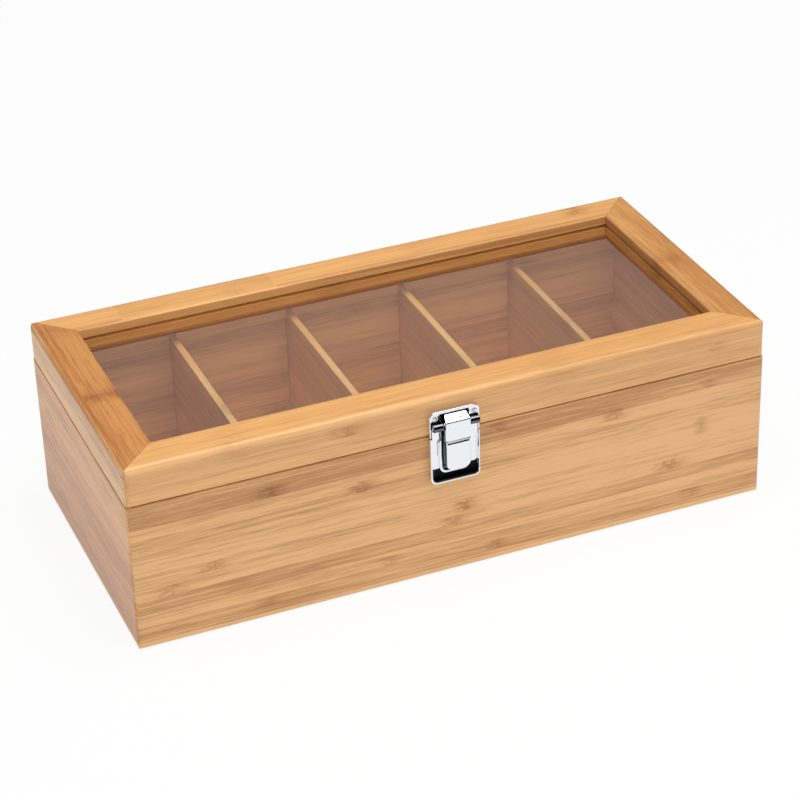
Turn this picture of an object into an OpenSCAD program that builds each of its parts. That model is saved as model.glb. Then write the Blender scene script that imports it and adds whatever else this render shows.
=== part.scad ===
// Tea bag organizer box: mitred walls, four dividers, a hinged lid with a clear window and a toggle latch.
// Origin at the middle of the underside. X runs left to right, Y front to back and Z up.

/* [Box] */
// Outer width of the box, left to right
box_w = 340; // [260:1:420]
// Outer depth of the box, front to back
box_d = 161; // [130:1:220]
// Height of the box without its lid
box_h = 81; // [64:1:120]
// Thickness of the four box walls
wall_t = 10; // [9:0.5:14]
// Thickness of the bottom panel
floor_t = 5; // [3:0.5:8]
// How far the bottom panel reaches in under the walls
floor_lap = 5; // [3:0.5:6]
// Radius of the box's upright corners and of its lowest edges
corner_r = 2; // [0.5:0.1:3]
// Radius of the edges that meet at the gap between box and lid
rim_r = 0.8; // [0.2:0.1:1]

/* [Dividers] */
// Number of dividers, which is one less than the number of compartments
divider_count = 4; // [1:1:6]
// Thickness of a divider
divider_t = 3.5; // [3:0.5:8]
// Depth of the divider grooves in the front and back walls
groove_depth = 2; // [1:0.5:2.5]
// How far the dividers end below the rim
divider_drop = 1.5; // [0.3:0.1:10]

/* [Lid] */
// Height of the lid
lid_h = 20.5; // [19:0.5:30]
// Gap between the box and the closed lid
lid_gap = 0.5; // [0.3:0.1:1]
// Width of the lid's four rails, seen from above
rail_w = 20.5; // [17:0.5:30]
// Radius of the lid's outer top edge
lid_edge_r = 3.5; // [1:0.5:5]
// Radius of the lid's upright corners
lid_corner_r = 3.5; // [1:0.5:5]
// Radius of the edge around the window
window_edge_r = 1; // [0.5:0.1:2]
// Depth of the window pane below the lid's top
pane_depth = 6.2; // [4:0.1:7]
// Thickness of the window pane
pane_t = 2; // [1.5:0.5:3]
// How far the pane reaches into the rails
pane_lap = 3; // [2:0.5:5]
// Height of the groove that is left open above the window pane
groove_open = 1.4; // [0.2:0.1:1.8]
// Height of the lid's thinner skirt, below the rails' full width
skirt_h = 8; // [7.5:0.5:10]

/* [Hinges] */
// Width of a hinge
hinge_w = 24; // [18:1:40]
// Distance from the box's side to a hinge's middle
hinge_inset = 55; // [30:1:90]
// Height of a hinge leaf from the pin's axis
leaf_h = 9; // [8:0.5:10]
// Thickness of a hinge leaf
leaf_t = 0.9; // [0.8:0.1:1]
// Outer radius of the hinge knuckles
knuckle_r = 1.7; // [1.5:0.1:2]
// Radius of the hinge pins
hinge_pin_r = 0.75; // [0.6:0.05:0.9]
// Length of a hinge screw's shank in the wood
screw_len = 7; // [5:0.5:7.5]

/* [Latch] */
// Sideways place of the latch from the middle of the front
latch_x = -3; // [-30:0.5:30]
// Width of the latch's base and keeper
latch_w = 26.4; // [24:0.2:32]
// Height of the base below the gap
base_h = 26.5; // [24:0.5:32]
// How far the base's bands stand out from the wood
base_out = 3.4; // [3:0.1:4]
// Height of the keeper's raised part
keeper_rise = 5.2; // [5:0.1:7]
// How far the keeper stands out from the wood
keeper_out = 3; // [2.6:0.1:3]
// Thickness of the latch's sheet metal
sheet_t = 0.8; // [0.6:0.1:1]
// Radius of the base's lower and the keeper's upper corners
latch_corner_r = 3; // [1.5:0.5:4]
// Width of the lever and of the claw
lever_w = 13; // [12:0.5:15]
// Height of the lever's lower end below the gap
lever_drop = 17.2; // [14:0.1:20]
// Height of the lever pin above the gap
lever_pin_up = 6.5; // [6:0.1:8]
// How far the lever pin's axis stands out from the wood
lever_pin_out = 4.4; // [4.2:0.1:5]
// Radius of the lever pin
lever_pin_r = 0.8; // [0.6:0.05:1]
// Radius of the rolled knuckles round the lever pin
shoulder_r = 2.1; // [1.8:0.1:2.2]
// Depth of the claw pin's axis below the gap
claw_pin_down = 1.5; // [1:0.1:3]
// Radius of the claw pin
claw_pin_r = 0.4; // [0.3:0.05:0.45]
// Height that the claw's sloping top climbs from its fold to its tip
claw_slope = 3; // [2:0.1:3]
// Radius of a nail's shank
nail_r = 0.6; // [0.5:0.05:0.8]
// Length of a nail in the wood
nail_len = 7; // [5:0.5:7.5]

/* [Fits] */
// Gap round a glued panel or divider in its groove
glue_gap = 0.15; // [0.1:0.05:0.3]
// Radial clearance of a pin that turns in a bore
pin_gap = 0.05; // [0.02:0.01:0.1]
// Radial clearance of a screw or a nail in its hole
hold_gap = 0.05; // [0.02:0.01:0.1]
// Sideways clearance between parts that turn past each other
side_gap = 0.2; // [0.1:0.05:0.3]

/* [Hidden] */
$fn = 48;

bamboo = [0.86, 0.64, 0.40];
bamboo_dark = [0.78, 0.56, 0.34];
chrome = [0.82, 0.83, 0.85];
steel = [0.62, 0.63, 0.65];
clear = [0.80, 0.85, 0.86, 0.35];

// A cut runs past the face it starts from by this much
over = 1;

inner_w = box_w - 2 * wall_t;
inner_d = box_d - 2 * wall_t;
cell_w = (inner_w - divider_count * divider_t) / (divider_count + 1);
divider_pitch = cell_w + divider_t;
lid_z = box_h + lid_gap;
lid_top = lid_z + lid_h;
gap_z = box_h + lid_gap / 2;
pane_top = lid_top - pane_depth;
groove_h = pane_t + glue_gap;

hinge_x = box_w / 2 - hinge_inset;
hinge_y = box_d / 2 + knuckle_r + 0.3;
middle_knuckle = 0.4 * hinge_w;
screw_x = 0.29 * hinge_w;
screw_z = 0.62 * leaf_h;
screw_r = 0.95;
screw_head_r = 1.6;
screw_head_h = 0.7;
screw_slot_w = 0.4;
screw_slot_deep = 0.35;

slot_half = lever_w / 2 + 2 * side_gap;
slot_drop = lever_drop + 0.8;
band_end = latch_w / 2 - sheet_t - side_gap;
keeper_step = lever_pin_up + shoulder_r + 0.4;
keeper_h = keeper_step + keeper_rise;
lever_back = lever_pin_out - shoulder_r;
lever_side_out = lever_pin_out + shoulder_r;
lever_out = lever_side_out + side_gap + sheet_t;
ear_r = claw_pin_r + 0.45;
claw_pin_out = lever_out - ear_r;
claw_low = ear_r + 0.1 - claw_pin_down;
lever_top = -claw_pin_down - norm([ear_r, ear_r + 0.1]) - 0.15;
lever_corner_r = 3;
claw_tip_out = keeper_out + 0.3;
claw_fold_up = keeper_step + 0.5;
claw_tip_up = claw_fold_up + claw_slope;
claw_tip_half = lever_w / 2 - 1;
nail_head_r = 1;
nail_head_h = 0.5;
base_nail_z = [-slot_drop / 3, -0.75 * slot_drop];
keeper_nail_x = latch_w / 2 - 2.8;
keeper_nail_z = keeper_h - 3.2;

// A box from its lowest to its highest corner
module block(low, high) {
    translate(low) cube(high - low);
}

// A flat drawing in Y and Z, drawn out along X from the middle
module along_x(length) {
    rotate([90, 0, 90]) linear_extrude(length, center = true) children();
}

// A rectangle from the origin whose corner radii go round from the lower left one
module eased_rect(w, h, radii) {
    places = [[0, 0], [w, 0], [w, h], [0, h]];
    difference() {
        square([w, h]);
        for (i = [0:3]) {
            if (radii[i] > 0) {
                translate(places[i]) rotate(90 * i) corner_waste(radii[i]);
            }
        }
    }
}

// What a rounded corner of this radius takes off a square one
module corner_waste(r) {
    difference() {
        translate([-over, -over]) square(r + over);
        translate([r, r]) circle(r);
    }
}

// The space of a mitred bar: its outer face has this length and lies this far out towards -Y
module mitre(length, out, t) {
    half = length / 2;
    linear_extrude(lid_top) polygon([[-half, -out], [half, -out], [half - t, -out + t], [-half + t, -out + t]]);
}

// The whole box's outline, with its upright corners rounded to this radius
module outline(r) {
    linear_extrude(lid_top) translate([-box_w / 2, -box_d / 2]) eased_rect(box_w, box_d, [r, r, r, r]);
}

// A mitred bar on one side of the box, its profile drawn with the outer face at 0 and inwards as +X. r is the radius
// of the upright corners at its ends.
module side_bar(turn, length, out, t, r) {
    intersection() {
        rotate([0, 0, turn]) intersection() {
            translate([0, -out, 0]) along_x(length) children();
            mitre(length, out, t);
        }
        outline(r);
    }
}

// Box walls

module wall_profile() {
    difference() {
        eased_rect(wall_t, box_h, [corner_r, 0, 0, rim_r]);
        translate([wall_t - floor_lap, -over]) square([floor_lap + over, floor_t + over]);
    }
}

module divider_place(i) {
    translate([(i - (divider_count + 1) / 2) * divider_pitch, 0, 0]) children();
}

// The grooves of all dividers, as deep as the two walls that hold them
module divider_grooves() {
    half_y = inner_d / 2 + groove_depth;
    half_x = divider_t / 2 + glue_gap;
    for (i = [1:divider_count]) {
        divider_place(i) block([-half_x, -half_y, floor_t], [half_x, half_y, box_h + over]);
    }
}

module front_wall() {
    color(bamboo) difference() {
        side_bar(0, box_w, box_d / 2, wall_t, corner_r) wall_profile();
        divider_grooves();
        base_nail_holes();
    }
}

module back_wall() {
    color(bamboo) difference() {
        side_bar(180, box_w, box_d / 2, wall_t, corner_r) wall_profile();
        divider_grooves();
        hinge_screw_holes(-1);
    }
}

module left_wall() {
    color(bamboo) side_bar(-90, box_d, box_w / 2, wall_t, corner_r) wall_profile();
}

module right_wall() {
    color(bamboo) side_bar(90, box_d, box_w / 2, wall_t, corner_r) wall_profile();
}

module bottom_panel() {
    half_x = inner_w / 2 + floor_lap - glue_gap;
    half_y = inner_d / 2 + floor_lap - glue_gap;
    color(bamboo_dark) block([-half_x, -half_y, 0], [half_x, half_y, floor_t]);
}

module divider(i) {
    half_y = inner_d / 2 + groove_depth - glue_gap;
    top = box_h - divider_drop;
    color(bamboo) divider_place(i) block([-divider_t / 2, -half_y, floor_t], [divider_t / 2, half_y, top]);
}

// Lid

module rail_profile() {
    translate([0, lid_z]) difference() {
        eased_rect(rail_w, lid_h, [rim_r, 0, window_edge_r, lid_edge_r]);
        translate([wall_t, -over]) square([rail_w, skirt_h + over]);
        translate([rail_w - pane_lap, lid_h - pane_depth - groove_h]) {
            square([pane_lap + over, groove_h + groove_open]);
        }
    }
}

module lid_front_rail() {
    color(bamboo) difference() {
        side_bar(0, box_w, box_d / 2, rail_w, lid_corner_r) rail_profile();
        keeper_nail_holes();
    }
}

module lid_back_rail() {
    color(bamboo) difference() {
        side_bar(180, box_w, box_d / 2, rail_w, lid_corner_r) rail_profile();
        hinge_screw_holes(1);
    }
}

module lid_left_rail() {
    color(bamboo) side_bar(-90, box_d, box_w / 2, rail_w, lid_corner_r) rail_profile();
}

module lid_right_rail() {
    color(bamboo) side_bar(90, box_d, box_w / 2, rail_w, lid_corner_r) rail_profile();
}

module window_pane() {
    half_x = box_w / 2 - rail_w + pane_lap - glue_gap;
    half_y = box_d / 2 - rail_w + pane_lap - glue_gap;
    low = pane_top - groove_h;
    color(clear) block([-half_x, -half_y, low], [half_x, half_y, low + pane_t]);
}

// Hinges: side is -1 for the leaf on the box, below the pin, and 1 for the leaf on the lid, above it

module hinge_place(hand) {
    translate([hand * hinge_x, hinge_y, gap_z]) children();
}

// A round bar along X, from its middle
module rod(r, length) {
    rotate([0, 90, 0]) cylinder(r = r, h = length, center = true);
}

// The two outer stretches of the hinge barrel, which belong to the leaf on the box
module outer_stretches(r, gap) {
    for (hand = [-1, 1]) {
        translate([hand * (hinge_w + middle_knuckle) / 4, 0, 0]) rod(r, (hinge_w - middle_knuckle) / 2 + 2 * gap);
    }
}

module screw_places(side) {
    for (hand = [-1, 1]) {
        translate([hand * screw_x, 0, side * screw_z]) children();
    }
}

module hinge_leaf(side) {
    wood_y = box_d / 2 - hinge_y;
    low = side > 0 ? side_gap : -leaf_h;
    high = side > 0 ? leaf_h : -side_gap;
    clear_r = knuckle_r + side_gap;
    difference() {
        union() {
            difference() {
                block([-hinge_w / 2, wood_y, low], [hinge_w / 2, wood_y + leaf_t, high]);
                if (side > 0) {
                    outer_stretches(clear_r, side_gap);
                } else {
                    rod(clear_r, middle_knuckle);
                }
            }
            if (side > 0) {
                rod(knuckle_r, middle_knuckle - 2 * side_gap);
            } else {
                outer_stretches(knuckle_r, 0);
            }
        }
        rod(hinge_pin_r + pin_gap, hinge_w + over);
        screw_places(side) translate([0, wood_y + leaf_t, 0]) screw_space();
    }
}

// The room that one screw takes in a leaf and in the wood behind it
module screw_space() {
    r = screw_r + hold_gap;
    rotate([90, 0, 0]) cylinder(r = r, h = leaf_t + screw_len + 0.2);
    rotate([90, 0, 0]) cylinder(r1 = screw_head_r + hold_gap, r2 = r, h = screw_head_h);
}

module hinge_screw_holes(side) {
    for (hand = [-1, 1]) {
        hinge_place(hand) screw_places(side) translate([0, box_d / 2 - hinge_y + leaf_t, 0]) screw_space();
    }
}

module screw() {
    difference() {
        rotate([90, 0, 0]) union() {
            cylinder(r = screw_r, h = leaf_t + screw_len);
            cylinder(r1 = screw_head_r, r2 = screw_r, h = screw_head_h);
        }
        block([-screw_head_r, -screw_slot_deep, -screw_slot_w / 2], [screw_head_r, over, screw_slot_w / 2]);
    }
}

module hinge_screws(side) {
    for (hand = [-1, 1]) {
        hinge_place(hand) screw_places(side) translate([0, box_d / 2 - hinge_y + leaf_t, 0]) screw();
    }
}

module box_leaf(hand) {
    color(steel) hinge_place(hand) hinge_leaf(-1);
}

module lid_leaf(hand) {
    color(steel) hinge_place(hand) hinge_leaf(1);
}

module hinge_pin(hand) {
    color(steel) hinge_place(hand) rod(hinge_pin_r, hinge_w);
}

// Latch: its pieces are drawn from the middle of its line on the gap

module latch_place() {
    translate([latch_x, -box_d / 2, gap_z]) children();
}

// A flat drawing in X and Z, standing out from the wood from one distance to another
module stand_out(from, to) {
    translate([0, -from, 0]) rotate([90, 0, 0]) linear_extrude(to - from) children();
}

// A flat drawing of distance out from the wood and height, drawn out along X
module out_section(length) {
    along_x(length) mirror([1, 0]) children();
}

// A plate from one height to another, with its lower or its upper corners rounded
module plate_face(w, low, high, r_low, r_high) {
    translate([-w / 2, low]) eased_rect(w, high - low, [r_low, r_low, r_high, r_high]);
}

// A pressed tray, open at the back, standing out this far, drawn smaller by the sheet on its sides
module tray(w, low, high, r_low, r_high, out) {
    low_in = r_low > 0 ? low + sheet_t : low - over;
    high_in = r_high > 0 ? high - sheet_t : high + over;
    r_low_in = max(r_low - sheet_t, 0);
    r_high_in = max(r_high - sheet_t, 0);
    difference() {
        stand_out(0, out) plate_face(w, low, high, r_low, r_high);
        stand_out(-over, out - sheet_t) plate_face(w - 2 * sheet_t, low_in, high_in, r_low_in, r_high_in);
    }
}

// The piece of the base that the lever lies in: a floor on the wood and a wall on each side
module lever_well() {
    half = slot_half + sheet_t;
    difference() {
        block([-half, -base_out, -slot_drop - sheet_t], [half, 0, -lid_gap / 2]);
        block([-slot_half, -base_out - over, -slot_drop], [slot_half, -sheet_t, over]);
    }
}

// A band's stretch above the gap, which ends in a knuckle round the lever pin
module shoulder(hand) {
    near = slot_half;
    far = band_end;
    low = min(hand * near, hand * far);
    high = max(hand * near, hand * far);
    block([low, -base_out, -sheet_t], [high, -base_out + sheet_t, lever_pin_up]);
    translate([(low + high) / 2, -lever_pin_out, lever_pin_up]) rod(shoulder_r, far - near);
}

module latch_base() {
    color(chrome) latch_place() difference() {
        union() {
            difference() {
                tray(latch_w, -base_h, -lid_gap / 2, latch_corner_r, 0, base_out);
                block([-slot_half, -base_out - over, -slot_drop], [slot_half, over, over]);
            }
            lever_well();
            shoulder(-1);
            shoulder(1);
        }
        translate([0, -lever_pin_out, lever_pin_up]) rod(lever_pin_r + pin_gap, latch_w);
        for (z = base_nail_z) {
            translate([0, 0, z]) nail_space(over);
        }
    }
}

// A nail's hole, from this far out of the wood to its end in the wood
module nail_space(out) {
    translate([0, -out, 0]) rotate([-90, 0, 0]) cylinder(r = nail_r + hold_gap, h = out + nail_len + 0.2);
}

module nail(out) {
    translate([0, -out, 0]) {
        rotate([-90, 0, 0]) cylinder(r = nail_r, h = out + nail_len);
        rotate([90, 0, 0]) cylinder(r1 = nail_head_r, r2 = 0.7 * nail_head_r, h = nail_head_h);
    }
}

module base_nail_holes() {
    latch_place() for (z = base_nail_z) {
        translate([0, 0, z]) nail_space(over);
    }
}

module base_nails() {
    color(steel) latch_place() for (z = base_nail_z) {
        translate([0, 0, z]) nail(sheet_t);
    }
}

module keeper_nail_places() {
    latch_place() for (hand = [-1, 1]) {
        translate([hand * keeper_nail_x, 0, keeper_nail_z]) children();
    }
}

module keeper_nail_holes() {
    keeper_nail_places() nail_space(over);
}

module keeper_nails() {
    color(steel) keeper_nail_places() nail(keeper_out);
}

// The opening in the keeper's raised part, narrower at its top, where the claw reaches in
module keeper_notch() {
    half_top = claw_tip_half + 0.9;
    half_low = half_top + 0.9;
    top = claw_tip_up + 0.4;
    polygon([[-half_low, 0], [half_low, 0], [half_low, keeper_step], [half_top, top], [-half_top, top],
        [-half_low, keeper_step]]);
}

module latch_keeper() {
    low = lid_gap / 2;
    lip_half = claw_tip_half - 1;
    lip_z = keeper_step + sheet_t / 2;
    side = latch_w / 2;
    color(chrome) difference() {
        latch_place() union() {
            difference() {
                tray(latch_w, keeper_step, keeper_h, 0, latch_corner_r, keeper_out);
                stand_out(-over, keeper_out + over) keeper_notch();
            }
            difference() {
                block([-side, -keeper_out, keeper_step], [side, 0, keeper_step + sheet_t]);
                stand_out(sheet_t, keeper_out + over) keeper_notch();
            }
            block([-side, -sheet_t, low], [side, 0, keeper_step + sheet_t]);
            block([-side, -keeper_out, low], [-side + sheet_t, 0, keeper_step + sheet_t]);
            block([side - sheet_t, -keeper_out, low], [side, 0, keeper_step + sheet_t]);
            block([-lip_half, -keeper_out + 0.4, lip_z], [lip_half, 0, lip_z + sheet_t]);
        }
        keeper_nail_places() nail_space(keeper_out + over);
    }
}

// The lever's sides, which reach up past the claw pin to the lever pin
module lever_side() {
    low = -lever_drop + lever_corner_r;
    translate([lever_back, low]) square([lever_side_out - lever_back, lever_pin_up - low]);
    translate([lever_back, low]) square([lever_out - lever_back, lever_top - low]);
    translate([lever_back, low]) square([claw_pin_out - lever_back, -claw_pin_down - low]);
    translate([claw_pin_out, -claw_pin_down]) circle(ear_r);
    translate([lever_pin_out, lever_pin_up]) circle(shoulder_r);
}

// The pressed lower end of the lever: a face with a wall round its sides and its foot
module lever_cup() {
    inner = lever_w - 2 * sheet_t;
    difference() {
        stand_out(lever_back, lever_out) plate_face(lever_w, -lever_drop, lever_top, lever_corner_r, 0);
        stand_out(lever_back - over, lever_out - sheet_t) {
            plate_face(inner, -lever_drop + sheet_t, lever_top + over, lever_corner_r - sheet_t, 0);
        }
    }
}

module latch_lever() {
    color(chrome) latch_place() difference() {
        union() {
            lever_cup();
            for (hand = [-1, 1]) {
                translate([hand * (lever_w - sheet_t) / 2, 0, 0]) out_section(sheet_t) lever_side();
            }
        }
        translate([0, -lever_pin_out, lever_pin_up]) rod(lever_pin_r + hold_gap, lever_w + over);
        translate([0, -claw_pin_out, -claw_pin_down]) rod(claw_pin_r + hold_gap, lever_w + over);
    }
}

module lever_pin() {
    color(steel) latch_place() translate([0, -lever_pin_out, lever_pin_up]) rod(lever_pin_r, 2 * band_end);
}

// The claw's bent strip: up its face, over the fold and back to a nose in front of the keeper's lip
module claw_strip() {
    face_in = lever_out - sheet_t;
    nose_low = claw_tip_up - 1.6;
    polygon([
        [face_in, claw_low],
        [lever_out, claw_low],
        [lever_out, claw_fold_up],
        [claw_tip_out, claw_tip_up],
        [claw_tip_out, nose_low],
        [claw_tip_out + sheet_t, nose_low],
        [claw_tip_out + sheet_t, claw_tip_up - 1.3],
        [face_in, claw_fold_up - 0.5]
    ]);
}

// The claw's width seen from above, drawn in toward its nose
module claw_plan() {
    half = lever_w / 2;
    polygon([[-half, -lever_out - over], [half, -lever_out - over], [half, -lever_out + sheet_t],
        [claw_tip_half, -claw_tip_out], [claw_tip_half, 0], [-claw_tip_half, 0], [-claw_tip_half, -claw_tip_out],
        [-half, -lever_out + sheet_t]]);
}

module latch_claw() {
    barrel = lever_w - 2 * sheet_t - 2 * side_gap;
    slot_mid = (lever_out + claw_tip_out) / 2 - 0.3;
    color(chrome) latch_place() difference() {
        union() {
            intersection() {
                out_section(lever_w) claw_strip();
                translate([0, 0, -base_h]) linear_extrude(2 * base_h) claw_plan();
            }
            out_section(barrel) {
                translate([claw_pin_out, -claw_pin_down]) circle(ear_r);
                translate([claw_pin_out, -claw_pin_down]) square([ear_r, claw_low + claw_pin_down + sheet_t]);
            }
        }
        translate([0, -claw_pin_out, -claw_pin_down]) rod(claw_pin_r + pin_gap, lever_w + over);
        block([-2.6, -slot_mid - 0.7, claw_fold_up - 1], [2.6, -slot_mid + 0.7, claw_tip_up + over]);
    }
}

module claw_pin() {
    color(steel) latch_place() translate([0, -claw_pin_out, -claw_pin_down]) rod(claw_pin_r, lever_w);
}

front_wall();
back_wall();
left_wall();
right_wall();
bottom_panel();
for (i = [1:divider_count]) {
    divider(i);
}
lid_front_rail();
lid_back_rail();
lid_left_rail();
lid_right_rail();
window_pane();
box_leaf(-1);  // hinge_left_box_leaf
lid_leaf(-1);  // hinge_left_lid_leaf
hinge_pin(-1);  // hinge_left_pin
box_leaf(1);  // hinge_right_box_leaf
lid_leaf(1);  // hinge_right_lid_leaf
hinge_pin(1);  // hinge_right_pin
hinge_screws(-1);  // hinge_box_screws
hinge_screws(1);  // hinge_lid_screws
latch_base();
base_nails();
latch_keeper();
keeper_nails();
latch_lever();
lever_pin();
latch_claw();
claw_pin();
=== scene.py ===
import math

import bmesh
import bpy
from mathutils import Matrix, Vector


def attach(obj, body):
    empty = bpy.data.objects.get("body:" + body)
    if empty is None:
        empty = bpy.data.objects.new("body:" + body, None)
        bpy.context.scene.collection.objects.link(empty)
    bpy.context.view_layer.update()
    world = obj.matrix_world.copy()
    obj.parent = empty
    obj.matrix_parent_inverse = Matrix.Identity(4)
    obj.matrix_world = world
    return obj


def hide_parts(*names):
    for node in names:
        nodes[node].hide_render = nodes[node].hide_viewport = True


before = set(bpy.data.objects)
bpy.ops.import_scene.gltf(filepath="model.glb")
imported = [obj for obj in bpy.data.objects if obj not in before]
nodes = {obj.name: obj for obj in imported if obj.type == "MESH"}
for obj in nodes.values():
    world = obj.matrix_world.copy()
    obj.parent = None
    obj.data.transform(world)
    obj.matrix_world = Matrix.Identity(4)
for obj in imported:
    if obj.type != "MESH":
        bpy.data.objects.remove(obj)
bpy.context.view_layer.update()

MM = 0.001


# Camera

def stand_camera():
    """The camera looks down on the box from the front and its left, as in the photograph."""
    right = Vector((0.923451, -0.382580, -0.029508))
    up = Vector((0.217430, 0.458353, 0.861764))
    back = Vector((-0.316169, -0.802212, 0.506451))
    turn = Matrix((right, up, back)).transposed().to_4x4()
    data = bpy.data.cameras.new("Camera")
    data.sensor_width = 36
    data.lens = 118.300
    data.clip_start = 0.05
    data.clip_end = 50
    camera = bpy.data.objects.new("Camera", data)
    bpy.context.scene.collection.objects.link(camera)
    camera.matrix_world = Matrix.Translation((-0.429449, -1.094004, 0.745415)) @ turn
    bpy.context.scene.camera = camera


# Node trees

def wire(tree, target, value):
    """Sets an input to a number, a colour or another node's output."""
    if isinstance(value, bpy.types.NodeSocket):
        tree.links.new(value, target)
    else:
        target.default_value = value


def calc(tree, operation, a, b=None, c=None):
    node = tree.nodes.new("ShaderNodeMath")
    node.operation = operation
    for socket, value in zip(node.inputs, (a, b, c)):
        if value is not None:
            wire(tree, socket, value)
    return node.outputs[0]


def join_xyz(tree, x, y, z):
    node = tree.nodes.new("ShaderNodeCombineXYZ")
    for socket, value in zip(node.inputs, (x, y, z)):
        wire(tree, socket, value)
    return node.outputs[0]


def noise(tree, place, scale, detail=2.0, rough=0.5):
    node = tree.nodes.new("ShaderNodeTexNoise")
    wire(tree, node.inputs["Vector"], place)
    node.inputs["Scale"].default_value = scale
    node.inputs["Detail"].default_value = detail
    node.inputs["Roughness"].default_value = rough
    return node.outputs["Fac"]


def chance(tree, key):
    """A fixed random number from 0 to 1 for each whole key."""
    node = tree.nodes.new("ShaderNodeTexWhiteNoise")
    node.noise_dimensions = "1D"
    wire(tree, node.inputs["W"], key)
    return node.outputs["Value"]


def ease(tree, value, low, high, start=0.0, end=1.0):
    """Goes smoothly from start to end while the value goes from low to high."""
    node = tree.nodes.new("ShaderNodeMapRange")
    node.interpolation_type = "SMOOTHSTEP"
    for name, v in zip(("Value", "From Min", "From Max", "To Min", "To Max"), (value, low, high, start, end)):
        wire(tree, node.inputs[name], v)
    return node.outputs[0]


def blend(tree, factor, a, b, mode="MIX"):
    node = tree.nodes.new("ShaderNodeMix")
    node.data_type = "RGBA"
    node.blend_type = mode
    wire(tree, node.inputs[0], factor)
    wire(tree, node.inputs[6], a)
    wire(tree, node.inputs[7], b)
    return node.outputs[2]


def new_group(name, inputs, outputs):
    group = bpy.data.node_groups.new(name, "ShaderNodeTree")
    for label, kind, value in inputs:
        socket = group.interface.new_socket(name=label, in_out="INPUT", socket_type=kind)
        if value is not None:
            socket.default_value = value
    for label, kind in outputs:
        group.interface.new_socket(name=label, in_out="OUTPUT", socket_type=kind)
    start = group.nodes.new("NodeGroupInput")
    end = group.nodes.new("NodeGroupOutput")
    return group, start.outputs, end.inputs


def bell(tree, value, width):
    """1 at 0, falling away smoothly on both sides within about twice this width."""
    ratio = calc(tree, "DIVIDE", value, width)
    return calc(tree, "POWER", 2.71828, calc(tree, "MULTIPLY", calc(tree, "MULTIPLY", ratio, ratio), -1.0))


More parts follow.
